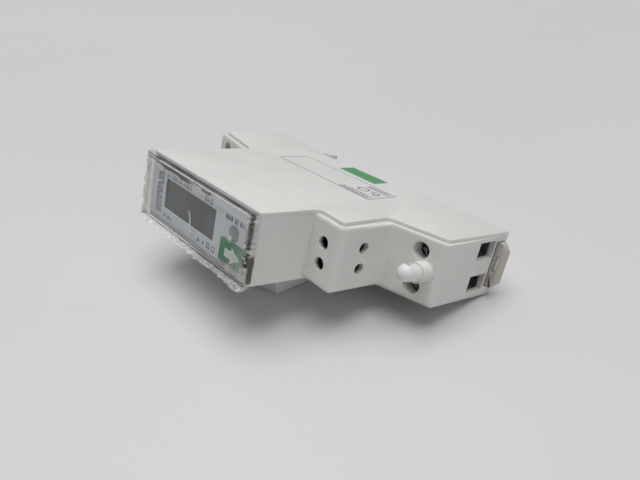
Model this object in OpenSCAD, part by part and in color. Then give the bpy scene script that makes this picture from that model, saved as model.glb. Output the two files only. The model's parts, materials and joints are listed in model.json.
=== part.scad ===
// Single-phase energy meter, one rail module wide, lying on its side.
// Working axes: X runs along the meter's height, Y from the display back to the rail,
// and Z across the module's width. The near end is the end towards +X.

/* [Body] */
// Width of the module, from side plate to side plate
module_w = 17.5; // [17.4:0.05:17.8]
// Height of the display nose
nose_h = 45; // [44.8:0.1:45.2]
// Depth from the front of the shell to the back
body_d = 60; // [59.9:0.05:60.3]
// Length of the body along the rail's height
body_len = 91.2; // [91:0.1:91.6]
// Thickness of the shell's walls
wall = 1.3; // [1.2:0.05:1.35]
// Thickness of each side plate, down to the terminal ledge
plate_t = 0.9; // [0.85:0.05:0.95]
// Radius of the rounded edge beside the terminal ledge
ledge_r = 0.6; // [0.4:0.1:0.6]

/* [Rail seat] */
// Width of the rail that the meter clips onto
rail_w = 35; // [35:0.1:35.2]
// Depth of the rail seat below the back of the shell
seat_depth = 4; // [4:0.05:4.2]
// How far the clip travels when it is pulled open
clip_travel = 3; // [2.5:0.1:3.2]

/* [Main terminals] */
// Distance between the line and neutral terminals
main_pitch = 9; // [9:0.05:9.1]
// Distance of the main screws from the middle of the meter
main_offset = 41.9; // [41.8:0.05:42]
// Radius of the main screwdriver holes
main_hole_r = 2.1; // [2:0.05:2.2]
// Radius of the main screws' threads
main_screw_r = 1.97; // [1.9:0.01:1.97]
// Size of each main wire opening, across the module
wire_w = 4.7; // [4.5:0.05:4.8]
// Size of each main wire opening, from front to back
wire_h = 7; // [6.9:0.05:7]

/* [Signal terminals] */
// Distance between the two signal terminals
signal_pitch = 5.2; // [5.1:0.05:5.3]
// Radius of the signal wire holes
signal_wire_r = 1.4; // [1.3:0.05:1.45]
// Radius of the signal screwdriver holes
signal_hole_r = 1.6; // [1.5:0.05:1.65]
// Radius of the signal screws' threads
signal_screw_r = 1.2; // [1.1:0.05:1.2]

/* [Display] */
// Size of the display window, along the nose and across it
lcd_w = 22.5; // [22:0.1:22.8]
lcd_h = 7.9; // [7.8:0.1:8.4]
// Size of the scroll key, along the nose and across it
key_w = 8.5; // [8.4:0.05:8.6]
key_h = 5.1; // [5:0.05:5.2]
// Thickness of the clear lens
lens_t = 0.8; // [0.7:0.05:0.8]

/* [Hidden] */
$fn = 48;

eps = 0.01;
mid_x = nose_h / 2;
mid_z = module_w / 2;
// Both ends of the body: the near end reaches further past the nose than the far end
end_x = mid_x + 48.1;
far_x = end_x - body_len;
flip_x = end_x + far_x;
core_lo = plate_t;
core_hi = module_w - plate_t;
seat_y = body_d - seat_depth;
rail_play = 0.2;

// Front of the lens and of the film that covers it
lens_front = -1.6;
film_front = -1.9;
// The clip's grip is the furthest point beyond the near end
grip_x = end_x + 2.6;

// Levels of the terminals across the module: the line pair is below the neutral pair
line_z = mid_z - main_pitch / 2;
neutral_z = mid_z + main_pitch / 2;
signal_a_z = mid_z - signal_pitch / 2;
signal_b_z = mid_z + signal_pitch / 2;
main_x = mid_x + main_offset;
signal_x = mid_x + 28.15;
signal_y = 22.5;

// Colours
WHITE = [0.87, 0.87, 0.85];
CLIP = [0.72, 0.7, 0.65];
CLEAR = [0.85, 0.9, 0.92, 0.4];
BOARD = [0.1, 0.4, 0.2];
STEEL = [0.75, 0.75, 0.77];
BRASS = [0.8, 0.65, 0.3];
COPPER = [0.8, 0.45, 0.3];
BLACK = [0.12, 0.12, 0.13];

// ---------- Placing and outlines ----------

// Moves the working axes to the part's origin: the middle of its underside
module place() {
    low = [far_x, film_front];
    high = [grip_x, body_d];
    translate([-(low[0] + high[0]) / 2, -(low[1] + high[1]) / 2, 0])
        children();
}

// Mirrors what is drawn at the near end to the far end
module far() {
    translate([flip_x, 0, 0])
        mirror([1, 0, 0])
            children();
}

// A box from its lowest corner to its highest corner
module block(a, b) {
    translate(a)
        cube(b - a);
}

// Cylinders along Y and along X, from a first to a second position
module rod_y(x, z, y0, y1, r) {
    translate([x, y0, z])
        rotate([-90, 0, 0])
            cylinder(h = y1 - y0, r = r);
}

module rod_x(y, z, x0, x1, r) {
    translate([x0, y, z])
        rotate([0, 90, 0])
            cylinder(h = x1 - x0, r = r);
}

function unit(v) = v / norm(v);
function xy(p) = [p[0], p[1]];
function inward(a, b) = let (u = unit(xy(b) - xy(a))) [-u[1], u[0]];

// Moves each edge of an outline inwards by its own distance, keeping the corners' radii
function inset(rows, dist) = [
    for (i = [0:len(rows) - 1])
        let (
            n = len(rows),
            before = (i + n - 1) % n,
            n1 = inward(rows[before], rows[i]),
            n2 = inward(rows[i], rows[(i + 1) % n]),
            c = n1 * n2,
            d1 = dist[before],
            d2 = dist[i],
            move = (d1 * (n1 - c * n2) + d2 * (n2 - c * n1)) / (1 - c * c)
        )
        [rows[i][0] + move[0], rows[i][1] + move[1], rows[i][2]]
];

// Turns rows of [x, y, radius] into an outline with a short arc at each corner
function corner(a, b, c, steps = 6) =
    let (
        r = b[2],
        u = unit(xy(a) - xy(b)),
        v = unit(xy(c) - xy(b)),
        half = acos(u * v) / 2,
        centre = xy(b) + unit(u + v) * r / sin(half),
        s = xy(b) + u * r / tan(half) - centre,
        e = xy(b) + v * r / tan(half) - centre,
        a0 = atan2(s[1], s[0]),
        turn = atan2(s[0] * e[1] - s[1] * e[0], s * e)
    )
    r == 0 ? [xy(b)] : [
        for (i = [0:steps])
            centre + r * [cos(a0 + turn * i / steps), sin(a0 + turn * i / steps)]
    ];
function rounded(rows) = [
    for (i = [0:len(rows) - 1])
        each corner(rows[(i + len(rows) - 1) % len(rows)], rows[i], rows[(i + 1) % len(rows)])
];

// The back of the outline, with the fixed hook and the seat for the rail
hook_lip = 1.2;
rail_near = mid_x + rail_w / 2;
rail_far = mid_x - rail_w / 2;
back_rows = [
    [end_x, body_d, 0],
    [rail_near + 3 * rail_play, body_d, 0],
    [rail_near + 3 * rail_play, seat_y, 0],
    [rail_far - 2 * rail_play, seat_y, 0],
    [rail_far - 2 * rail_play, seat_y + hook_lip, 0],
    [rail_far + 1.4, seat_y + hook_lip, 0.3],
    [rail_far + 2.4, body_d, 0],
    [far_x, body_d, 0]
];

// Outline of the two side plates
plate_rows = concat([
    [0, 0, 0.4],
    [nose_h, 0, 0.4],
    [mid_x + 23.5, 16.6, 1.5],
    [mid_x + 31.7, 15.9, 0.8],
    [mid_x + 31.7, 31.3, 1.6],
    [end_x - 1.3, 35.4, 1.2]
], back_rows, [
    [far_x + 1.3, 35.8, 1.2],
    [mid_x - 23.7, 31.6, 1.6]
]);

// Outline of the shell between the plates, proud of them round the terminals
core_rows = concat([
    [0, 0, 0.4],
    [nose_h, 0, 0.4],
    [mid_x + 23.45, 15.05, 0],
    [mid_x + 33.1, 14.3, 2],
    [mid_x + 34.1, 30.6, 0.8],
    [end_x - 0.4, 33.9, 1.6]
], back_rows, [
    [far_x + 0.4, 34.3, 1.6],
    [mid_x - 23.45, 30.1, 0.6]
]);
// 1 for each core edge that is proud of the plates
core_proud = [0, 0, 1, 1, 1, 0, 0, 0, 0, 0, 0, 0, 0, 0, 1, 0];

module plate(z0, z1) {
    translate([0, 0, z0])
        linear_extrude(z1 - z0)
            polygon(rounded(plate_rows));
}

// One slice of the shell's core, its proud edges pulled in
module core_slice(z0, z1, pull) {
    translate([0, 0, z0])
        linear_extrude(z1 - z0)
            polygon(rounded(inset(core_rows, pull * core_proud)));
}

// The core as slices, so that its proud edges are rounded at both plates
module core_block() {
    slices = 4;
    step = ledge_r / slices;
    for (i = [0:slices - 1]) {
        away = ledge_r - (i + 0.5) * step;
        pull = ledge_r - sqrt(ledge_r * ledge_r - away * away);
        core_slice(core_lo + i * step, core_lo + (i + 1) * step, pull);
        core_slice(core_hi - (i + 1) * step, core_hi - i * step, pull);
    }
    core_slice(core_lo + ledge_r, core_hi - ledge_r, 0);
}

// ---------- Shell ----------

// The terminal compartments at each end, given for the near end
bay_x0 = mid_x + 37.3;
bay_x1 = mid_x + 46.5;
bay_y0 = 38.6;
bay_y1 = seat_y;
inner_wall_x = bay_x0 - 1.2;
// Where the walls of the main cavity turn
cavity_front = 17.1;
cavity_back = seat_y - wall;
head_seat_y = 35.8;
head_pocket_r = 2.95;
wire_y = 48;
hole_start = 25;

module main_cavity() {
    // The walls are thick enough here for the side plates to close the cavity
    step_x = mid_x + 30.9;
    translate([0, 0, core_lo])
        linear_extrude(module_w)
            polygon([
                [wall, -1],
                [nose_h - wall, -1],
                [mid_x + 23.45 - wall, cavity_front],
                [step_x, cavity_front],
                [step_x, 31.1 + wall],
                [inner_wall_x, 32 + wall],
                [inner_wall_x, cavity_back],
                [flip_x - inner_wall_x, cavity_back],
                [flip_x - inner_wall_x, 32.8 + wall],
                [mid_x - 23.4 + wall, 30.8 + wall]
            ]);
}

// A terminal compartment for one line and one neutral terminal
module terminal_bay() {
    block([bay_x0, bay_y0, core_lo], [bay_x1, bay_y1, module_w]);
    for (z = [line_z, neutral_z]) {
        rod_y(main_x, z, hole_start, bay_y0 + eps, main_hole_r);
        rod_y(main_x, z, head_seat_y, bay_y0 + eps, head_pocket_r);
        // Opening for the customer's wire
        block([bay_x1 - eps, wire_y, z - wire_w / 2], [end_x + 1, wire_y + wire_h, z + wire_w / 2]);
        // Slot for the bus bar
        block([inner_wall_x - eps, bar_y0 - bar_slot, z - bar_w / 2 - bar_slot],
            [bay_x0 + eps, bar_y1 + bar_slot, z + bar_w / 2 + bar_slot]);
    }
}

// The rail clip's tongue, and the stud that stops it when it is pulled open
clip_y0 = seat_y + 1.5;
clip_y1 = body_d - 1.1;
clip_z0 = 2.6;
clip_lip = 1.4;
channel_y0 = seat_y + 1.2;
channel_play = 0.3;
mouth_lip = 0.9;
stud_x = mid_x + 37;
stud_r = 1;
// The grip's front, and the recess round it in the shell's end face
grip_y0 = seat_y + 1;
recess_y0 = seat_y - 0.4;
recess_depth = 1;

// The channel that the rail clip slides in, with a narrower mouth that holds it,
// and the recess that the grip starts in
module clip_channel() {
    near = rail_near - 1;
    low = clip_z0 - channel_play;
    mouth = clip_z0 + mouth_lip;
    block([near, channel_y0, low], [end_x + 1, clip_y1 + channel_play, module_w - low]);
    block([near, channel_y0, mouth], [end_x + 1, body_d + 1, module_w - mouth]);
    block([end_x - recess_depth, recess_y0, low], [end_x + 1, channel_y0 + eps, module_w - low]);
}

// Places of the shell's bosses for the side cover's pegs
peg_places = [
    [mid_x - 14.5, 51.4],
    [mid_x + 14.5, 51.4],
    [mid_x + 30, 40],
    [mid_x + 28, 30],
    [mid_x - 27.5, 40]
];
boss_r = 2.2;
boss_top = 15.4;
peg_r = 1.2;
peg_bore_r = 1.25;
peg_low = 11.4;

// Places of the posts that carry the main board
post_places = [
    [mid_x - 17.5, 13],
    [mid_x + 17.5, 13],
    [mid_x - 17.5, 42.6],
    [mid_x + 17.5, 42.6]
];
post_r = [1.6, 0.9];
post_tip = 0.8;
board_z = 3;
board_t = 1.6;
board_top = board_z + board_t;

// The round boss between the main screwdriver holes, for the sealing plug
seal_x = main_x + 1.8;
seal_y = 32.9;
seal_boss_r = 2.5;
seal_boss_h = 3;
seal_below = 2.5;
seal_bore_r = 1.25;
seal_head_r = 2.05;
seal_cup_r = seal_head_r + 0.05;

module housing_shell() {
    color(WHITE)
        place() {
            difference() {
                union() {
                    plate(0, plate_t);
                    core_block();
                    rod_y(seal_x, mid_z, seal_y - seal_boss_h, seal_y + 2, seal_boss_r);
                }
                main_cavity();
                terminal_bay();
                far()
                    terminal_bay();
                clip_channel();
                // Coring behind the far terminals
                block([flip_x - bay_x1, bay_y1 + wall, core_lo],
                    [rail_far - 2, body_d - wall, module_w]);
                // Signal terminals: screwdriver holes in front, wire holes at the end
                for (z = [signal_a_z, signal_b_z]) {
                    rod_y(signal_x, z, signal_y - 9.5, signal_y - 5.5, signal_hole_r);
                    rod_y(signal_x, z, small_head_y - 0.15, cavity_front + eps, small_head[0] + 0.15);
                    rod_x(signal_y, z, mid_x + 30, mid_x + 36, signal_wire_r);
                }
                // Cup and bore for the sealing plug
                rod_y(seal_x, mid_z, seal_y - seal_boss_h - 1, seal_y + seal_below, seal_bore_r);
                translate([seal_x, seal_y - seal_boss_h, mid_z])
                    sphere(r = seal_cup_r);
            }
            rod_y(stud_x, mid_z, channel_y0 - eps, clip_y1 - 0.2, stud_r);
            for (p = peg_places)
                translate([p[0], p[1], core_lo - eps])
                    difference() {
                        cylinder(h = boss_top - core_lo, r = boss_r);
                        translate([0, 0, peg_low - 1])
                            cylinder(h = module_w, r = peg_bore_r);
                    }
            for (p = post_places)
                translate([p[0], p[1], core_lo - eps]) {
                    cylinder(h = board_z - core_lo, r = post_r[0]);
                    cylinder(h = board_top - core_lo + post_tip, r = post_r[1]);
                }
        }
}

module side_cover() {
    color(WHITE)
        place() {
            plate(core_hi, module_w);
            for (p = peg_places)
                translate([p[0], p[1], peg_low])
                    cylinder(h = core_hi - peg_low + eps, r = peg_r);
        }
}

// ---------- Display ----------

// The label and everything on it, measured from the nose's corner
label_front = -0.7;
label_back = -0.4;
label_x = [1.5, 42.3];
label_z = [1.5, 15.7];
lcd_x0 = 8;
lcd_z0 = mid_z - lcd_h / 2;
led_x = 38;
led_z = 9.95;
led_r = 1.6;
key_x0 = 34.3;
key_z0 = 2.5;
key_gap = 0.2;
key_front = -1.3;
key_travel = 0.5;
flange_y = [0.8, 1.8];
stem_end = 4.9;
switch_x = key_x0 + key_w / 2;
switch_z = key_z0 + key_h / 2;

// The display glass is two panes, held in a frame in front of its own board
glass_x = [5.6, 31.9];
glass_z = [mid_z - 5.6, mid_z + 5.6];
glass_y = [-0.3, 0.6, 1.5];
connector_z = [mid_z - 4.8, mid_z + 4.8];
connector_half = 0.6;
frame_x = [2.8, 42.6];
frame_z = [1.9, 15.6];
board_face = 7;
display_board_t = 1.2;

// The space for the key, with a gap all round it
module key_space(y0, y1, gap) {
    block([key_x0 - gap, y0, key_z0 - gap], [key_x0 + key_w + gap, y1, key_z0 + key_h + gap]);
}

// Rectangle along the nose with rounded corners, from one depth to another
module face_plate(x, z, y0, y1, r) {
    translate([0, y1, 0])
        rotate([90, 0, 0])
            linear_extrude(y1 - y0)
                polygon(rounded([[x[0], z[0], r], [x[1], z[0], r], [x[1], z[1], r], [x[0], z[1], r]]));
}

module front_lens() {
    end_gap = 0.1;
    side_gap = 0.15;
    rim = [1.1, 1.2];
    tab_t = 0.6;
    tab_size = [5, 4];
    root_y = -0.5;
    color(CLEAR)
        place() {
            difference() {
                face_plate([end_gap, nose_h - end_gap], [side_gap, module_w - side_gap],
                    lens_front, -eps, 0.8);
                face_plate([rim[0], nose_h - rim[0]], [rim[1], module_w - rim[1]],
                    lens_front + lens_t, 1, 0.4);
                key_space(lens_front - 1, 1, key_gap);
            }
            // Tabs that push into the nose along both side plates, and their roots on the rim
            for (x = [8, 32]) {
                for (z = [core_lo + end_gap, core_hi - end_gap - tab_t])
                    block([x, label_back + 0.05, z], [x + tab_size[0], tab_size[1], z + tab_t]);
                for (z = [rim[1] - 0.5, module_w - rim[1] - 0.2])
                    block([x, root_y, z], [x + tab_size[0], -eps, z + 0.7]);
            }
        }
}

// A thin sheet over the lens, turned down a little way at both ends of the nose
module protective_film() {
    sheet = 0.15;
    margin = 0.3;
    flap_margin = 0.6;
    near = nose_h + 1.3;
    far = -1;
    flap_end = 3;
    color(CLEAR)
        place() {
            block([far, film_front, margin], [near, film_front + sheet, module_w - margin]);
            block([near - sheet, film_front, flap_margin], [near, flap_end, module_w - flap_margin]);
            block([far, film_front, flap_margin], [far + sheet, flap_end, module_w - flap_margin]);
        }
}

module face_label() {
    color([0.75, 0.78, 0.82])
        place()
            difference() {
                face_plate(label_x, label_z, label_front, label_back, 0.3);
                block([lcd_x0, -1, lcd_z0], [lcd_x0 + lcd_w, 0, lcd_z0 + lcd_h]);
                rod_y(led_x, led_z, -1, 0, led_r);
                block([key_x0 - key_gap, -1, key_z0 - key_gap],
                    [label_x[1] + 1, 0, key_z0 + key_h + key_gap]);
            }
}

module lcd_holder() {
    play = 0.2;
    light_half = 3.2;
    through = board_face + 1;
    key_back = flange_y[1] + key_travel + 1.1;
    color(WHITE)
        place()
            difference() {
                block([frame_x[0], label_back, frame_z[0]], [frame_x[1], board_face, frame_z[1]]);
                // Pocket for the glass, and the space behind it down to the board
                block([glass_x[0] - play, -1, glass_z[0] - play],
                    [glass_x[1] + play, glass_y[2], glass_z[1] + play]);
                block([glass_x[0] + 1, 0, mid_z - light_half],
                    [glass_x[1] - 1, through, mid_z + light_half]);
                // Slots for the two elastomer connectors
                for (z = connector_z)
                    block([glass_x[0] + 0.5, 0, z - connector_half - play],
                        [glass_x[1] - 0.5, through, z + connector_half + play]);
                // Light pipe and its LED
                rod_y(led_x, led_z, -1, 0.8, led_r + 0.6);
                rod_y(led_x, led_z, 0, through, led_r + 0.05);
                // Key, its flange and the switch behind it
                block([key_x0 - 0.9, -1, key_z0 - 0.4],
                    [frame_x[1] + 1, key_back, key_z0 + key_h + play]);
                block([key_x0 + 0.6, key_back - eps, key_z0 - 0.3],
                    [key_x0 + key_w - 0.7, through, key_z0 + key_h - play]);
            }
}

module lcd_glass() {
    ledge = [0.6, 0.4];
    color([0.35, 0.4, 0.38])
        place() {
            block([glass_x[0], glass_y[0], glass_z[0]], [glass_x[1], glass_y[1], glass_z[1]]);
            block([glass_x[0] + ledge[0], glass_y[1] - eps, glass_z[0] + ledge[1]],
                [glass_x[1] - ledge[0], glass_y[2], glass_z[1] - ledge[1]]);
        }
}

module lcd_connectors() {
    inset_x = 0.8;
    color([0.85, 0.45, 0.5])
        place()
            for (z = connector_z)
                block([glass_x[0] + inset_x, glass_y[2], z - connector_half],
                    [glass_x[1] - inset_x, board_face, z + connector_half]);
}

module light_pipe() {
    pipe_end = 5;
    collar = [label_back + 0.1, 0.7];
    color(CLEAR)
        place() {
            rod_y(led_x, led_z, label_front, pipe_end, led_r - 0.05);
            rod_y(led_x, led_z, collar[0], collar[1], led_r + 0.5);
        }
}

module pulse_led() {
    half = [1.1, 0.8];
    body_h = 1;
    dome_r = 0.65;
    dome_y = 5.4;
    color([0.9, 0.8, 0.6])
        place() {
            block([led_x - half[0], board_face - body_h, led_z - half[1]],
                [led_x + half[0], board_face, led_z + half[1]]);
            rod_y(led_x, led_z, dome_y, board_face - body_h + 0.1, dome_r);
        }
}

module display_board() {
    color(BOARD)
        place()
            block([frame_x[0] - 0.2, board_face, frame_z[0]],
                [frame_x[1] + 0.4, board_face + display_board_t, frame_z[1]]);
}

// The small push switch on the display board, bored for its plunger
module key_switch() {
    half = [2.6, 1.9];
    front = 5.5;
    floor_t = 0.1;
    color(BLACK)
        place()
            difference() {
                block([switch_x - half[0], front, switch_z - half[1]],
                    [switch_x + half[0], board_face, switch_z + half[1]]);
                rod_y(switch_x, switch_z, front - 1, board_face - floor_t, 1);
            }
}

module scroll_key() {
    stem_half = 1;
    lip = [0.5, 0.1];
    color([0.15, 0.5, 0.32])
        place() {
            key_space(key_front, flange_y[1] - 0.2, 0);
            block([key_x0 - lip[0], flange_y[0], key_z0 - lip[1]],
                [key_x0 + key_w + lip[1], flange_y[1], key_z0 + key_h - lip[1]]);
            block([switch_x - stem_half, flange_y[1] - 0.3, switch_z - stem_half],
                [switch_x + stem_half, stem_end, switch_z + stem_half]);
        }
}

module switch_plunger() {
    tip = 6.3;
    color([0.9, 0.9, 0.88])
        place()
            rod_y(switch_x, switch_z, stem_end, tip, 0.95);
}

// ---------- Electronics ----------

module main_board() {
    half = 20.2;
    ends = [10, 45.4];
    post_hole_r = 1;
    color(BOARD)
        place()
            difference() {
                block([mid_x - half, ends[0], board_z], [mid_x + half, ends[1], board_top]);
                for (p = post_places)
                    translate([p[0], p[1], board_z - 1])
                        cylinder(h = board_t + 2, r = post_hole_r);
            }
}

// A box on the main board, from its corner and its size
module on_board(corner, size, lift = 0) {
    translate([corner[0], corner[1], board_top + lift])
        cube(size);
}

// A chip with legs down both long sides, from its centre
module chip(centre, size, legs) {
    pitch = 1.27;
    leg = [0.4, 1.2, size[2] / 2];
    foot = 0.5;
    on_board([centre[0] - size[0] / 2, centre[1] - size[1] / 2], size, 0.1);
    for (side = [-1, 1])
        for (i = [0:legs - 1])
            on_board([
                centre[0] + (i - (legs - 1) / 2) * pitch - leg[0] / 2,
                centre[1] + side * (size[1] / 2 + foot) - leg[1] / 2
            ], leg);
}

module board_header() {
    size = [12.7, 2.5, 2.5];
    start = [8, 10.4];
    pins = 5;
    pitch = size[0] / pins;
    pin_r = 0.32;
    color(BLACK)
        place() {
            on_board(start, size);
            for (i = [0:pins - 1])
                rod_y(start[0] + (i + 0.5) * pitch, board_top + size[2] / 2,
                    board_face + display_board_t, start[1] + 0.1, pin_r);
        }
}

module processor_chip() {
    color(BLACK)
        place()
            chip([30.5, 19.5], [10, 9, 1.4], 7);
}

module metering_chip() {
    color(BLACK)
        place()
            chip([17.5, 38.5], [9.9, 3.9, 1.6], 7);
}

module crystal_can() {
    start = [16.8, 23];
    flange = [4.4, 10.6, 0.5];
    step = 0.4;
    can_h = 3.4;
    color(STEEL)
        place() {
            on_board(start, flange);
            on_board(start + [step, step],
                [flange[0] - 2 * step, flange[1] - 2 * step, can_h - flange[2] + eps], flange[2] - eps);
        }
}

module film_capacitor() {
    color([0.75, 0.6, 0.25])
        place()
            on_board([24, 28.5], [12.5, 8, 9.5]);
}

// An electrolytic can lying on the board, with the groove that holds its seal
module supply_capacitor() {
    centre = [9.5, 18];
    r = 4;
    length = 12.8;
    bevel = 0.3;
    groove = [1.4, 1.8, 2.2];
    color([0.15, 0.2, 0.45])
        place()
            translate([centre[0], centre[1], board_top + r + 0.1])
                rotate([-90, 0, 0])
                    rotate_extrude()
                        polygon([
                            [0, 0], [r - bevel, 0], [r, bevel], [r, groove[0]],
                            [r - bevel, groove[1]], [r, groove[2]], [r, length], [0, length]
                        ]);
}

// A disc varistor standing on its two leads
module varistor() {
    centre = [9, 36];
    r = 4.4;
    thick = 3;
    bevel = 0.6;
    lead = 0.6;
    lead_h = 4;
    color([0.2, 0.35, 0.7])
        place() {
            translate([centre[0], centre[1], board_top + r + 0.4])
                rotate([-90, 0, 0])
                    rotate_extrude()
                        polygon([
                            [0, 0], [r - bevel, 0], [r, bevel],
                            [r, thick - bevel], [r - bevel, thick], [0, thick]
                        ]);
            for (side = [-1, 1])
                on_board([centre[0] + side * 2.3 - lead / 2, centre[1] + (thick - lead) / 2],
                    [lead, lead, lead_h]);
        }
}

module optocoupler() {
    color(BLACK)
        place()
            chip([38.6, 26.5], [3, 5, 2.4], 2);
}

// ---------- Current path ----------

bar_y0 = 46.65;
bar_y1 = 47.85;
bar_w = 3.6;
bar_slot = 0.25;
shunt_x = [mid_x - 3.5, mid_x + 3.5];
bar_end = main_x + 3.3;

module bar(x0, x1, z, y1) {
    block([x0, bar_y0, z - bar_w / 2], [x1, y1, z + bar_w / 2]);
}

module line_in_bar() {
    color(COPPER)
        place()
            bar(flip_x - bar_end, shunt_x[0], line_z, bar_y1);
}

module line_out_bar() {
    color(COPPER)
        place()
            bar(shunt_x[1], bar_end, line_z, bar_y1);
}

module shunt() {
    color([0.6, 0.5, 0.42])
        place()
            bar(shunt_x[0], shunt_x[1], line_z, bar_y1 - 0.3);
}

module sense_leads() {
    color(BRASS)
        place()
            for (x = [shunt_x[0] + 0.8, shunt_x[1] - 0.8])
                block([x - 0.4, 44, board_top], [x + 0.4, bar_y0, board_top + 0.6]);
}

module neutral_bar() {
    color(COPPER)
        place()
            bar(flip_x - bar_end, bar_end, neutral_z, bar_y1);
}

// ---------- Main terminals ----------

// Each cage is drawn fully open: its screw's turns lift it until it nearly meets the wall above
thread_pitch = 0.7;
main_turns = 8;
tip_gap = 0.15;
cage_x = 4;
cage_z = 3;
cage_top = bay_y0 + 0.3 + thread_pitch * main_turns;
cage_bottom = bay_y1 - 0.3;
nut_t = 1.8;
cage_wall = 0.8;
thread_gap = 0.06;
head_top = head_seat_y + 0.3;

// The rising cage of a main terminal: a square loop with a threaded top
module main_cage(z) {
    difference() {
        block([main_x - cage_x, cage_top, z - cage_z], [main_x + cage_x, cage_bottom, z + cage_z]);
        block([main_x - cage_x - 1, cage_top + nut_t, z - cage_z + cage_wall],
            [main_x + cage_x + 1, cage_bottom - cage_wall, z + cage_z - cage_wall]);
        rod_y(main_x, z, cage_top - 1, cage_top + nut_t + 1, main_screw_r + thread_gap);
    }
}

// A screw along Y with a slot and a cross in its head, which is given as [radius, height]
module driven_screw(x, z, y, head, shank_r, tip_y, blade) {
    bevel = 0.3;
    tip = [0.4, 0.5];
    length = tip_y - y;
    difference() {
        translate([x, y, z])
            rotate([-90, 0, 0])
                rotate_extrude()
                    polygon([
                        [0, 0], [head[0] - bevel, 0], [head[0], bevel], [head[0], head[1]],
                        [shank_r, head[1]], [shank_r, length - tip[1]],
                        [shank_r - tip[0], length], [0, length]
                    ]);
        block([x - head[0] - 1, y - 1, z - blade / 2],
            [x + head[0] + 1, y + head[1] * 0.5, z + blade / 2]);
        block([x - blade / 2, y - 1, z - head[0] * 0.6],
            [x + blade / 2, y + head[1] * 0.6, z + head[0] * 0.6]);
    }
}

module main_screw(z) {
    driven_screw(main_x, z, head_top, [2.6, 2.2], main_screw_r, bar_y0 - tip_gap, 0.8);
}

module line_out_cage() {
    color(STEEL)
        place()
            main_cage(line_z);
}

module line_out_screw() {
    color(STEEL)
        place()
            main_screw(line_z);
}

module neutral_out_cage() {
    color(STEEL)
        place()
            main_cage(neutral_z);
}

module neutral_out_screw() {
    color(STEEL)
        place()
            main_screw(neutral_z);
}

module line_in_cage() {
    color(STEEL)
        place()
            far()
                main_cage(line_z);
}

module line_in_screw() {
    color(STEEL)
        place()
            far()
                main_screw(line_z);
}

module neutral_in_cage() {
    color(STEEL)
        place()
            far()
                main_cage(neutral_z);
}

module neutral_in_screw() {
    color(STEEL)
        place()
            far()
                main_screw(neutral_z);
}

// The insulating barrier between the line and neutral cages
module barrier() {
    play = 0.1;
    half = 1.05;
    block([bay_x0 + play, bay_y0 + play, mid_z - half],
        [bay_x1 - play, bay_y1 - play, mid_z + half]);
}

module near_barrier() {
    color(WHITE)
        place()
            barrier();
}

module far_barrier() {
    color(WHITE)
        place()
            far()
                barrier();
}

// ---------- Signal terminals ----------

block_x = [signal_x - 3, signal_x + 2.45];
block_y = [17.4, 26.1];
block_margin = 2.9;
tongue_y0 = 20.65;
tongue_y1 = 21.15;
small_head_y = 16.5;
small_head = [1.75, 1];
small_pitch = 0.45;
small_turns = 4;
small_cage = [2.1, 1.9];
small_nut_t = 0.9;
small_nut = small_head_y + small_head[1] + 0.4 + small_pitch * small_turns;
small_bottom = 24.8;

// The block that carries both signal terminals, with a bay for each cage
module signal_block() {
    play = [0.4, 0.3, 0.3];
    tongue_half = 1.3;
    color([0.3, 0.32, 0.33])
        place()
            difference() {
                block([block_x[0], block_y[0], block_margin],
                    [block_x[1], block_y[1], module_w - block_margin]);
                for (z = [signal_a_z, signal_b_z]) {
                    block([
                        signal_x - small_cage[0] - play[0],
                        block_y[0] - 1,
                        z - small_cage[1] - play[2]
                    ], [
                        signal_x + small_cage[0] + play[0],
                        small_bottom + play[1],
                        z + small_cage[1] + play[2]
                    ]);
                    block([block_x[0] - 1, tongue_y0 - 0.1, z - tongue_half],
                        [signal_x, tongue_y1 + 0.1, z + tongue_half]);
                }
            }
}

// Two brass tongues into the cages, each with a foot on the main board
module signal_contacts() {
    foot = 0.6;
    half = 1.2;
    color(BRASS)
        place()
            for (row = [[41.5, signal_a_z], [39.9, signal_b_z]]) {
                block([row[0], tongue_y0, row[1] - half], [signal_x + 2, tongue_y1, row[1] + half]);
                block([row[0], tongue_y0, board_top], [row[0] + foot, tongue_y1, row[1]]);
            }
}

module signal_cage(z) {
    side = 0.45;
    base = 0.7;
    difference() {
        block([signal_x - small_cage[0], small_nut, z - small_cage[1]],
            [signal_x + small_cage[0], small_bottom, z + small_cage[1]]);
        block([signal_x - small_cage[0] - 1, small_nut + small_nut_t, z - small_cage[1] + side],
            [signal_x + small_cage[0] + 1, small_bottom - base, z + small_cage[1] - side]);
        rod_y(signal_x, z, small_nut - 1, small_nut + 1, signal_screw_r + 0.05);
    }
}

module signal_screw(z) {
    driven_screw(signal_x, z, small_head_y, small_head, signal_screw_r, tongue_y0 - tip_gap, 0.5);
}

module signal_a_cage() {
    color(STEEL)
        place()
            signal_cage(signal_a_z);
}

module signal_a_screw() {
    color(STEEL)
        place()
            signal_screw(signal_a_z);
}

module signal_b_cage() {
    color(STEEL)
        place()
            signal_cage(signal_b_z);
}

module signal_b_screw() {
    color(STEEL)
        place()
            signal_screw(signal_b_z);
}

// ---------- Sealing plug and rail clip ----------

// A nylon plug whose shank fills the boss and whose domed head leans a little upwards.
// The cross hole in the head takes a sealing wire.
module sealing_plug() {
    lean = 10;
    head_len = 3.8;
    shank_below = 1.6;
    wire_r = 0.65;
    color([0.95, 0.95, 0.95])
        place()
            translate([seal_x, seal_y - seal_boss_h, mid_z]) {
                difference() {
                    rotate([90 - lean, 0, 0]) {
                        sphere(r = seal_head_r);
                        cylinder(h = head_len, r = seal_head_r);
                        translate([0, 0, head_len])
                            sphere(r = seal_head_r);
                    }
                    rotate([-lean, 0, 0])
                        translate([0, -head_len, -5])
                            cylinder(h = 10, r = wire_r);
                }
                rod_y(0, 0, 0, seal_boss_h + shank_below, seal_bore_r - 0.05);
            }
}

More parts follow.
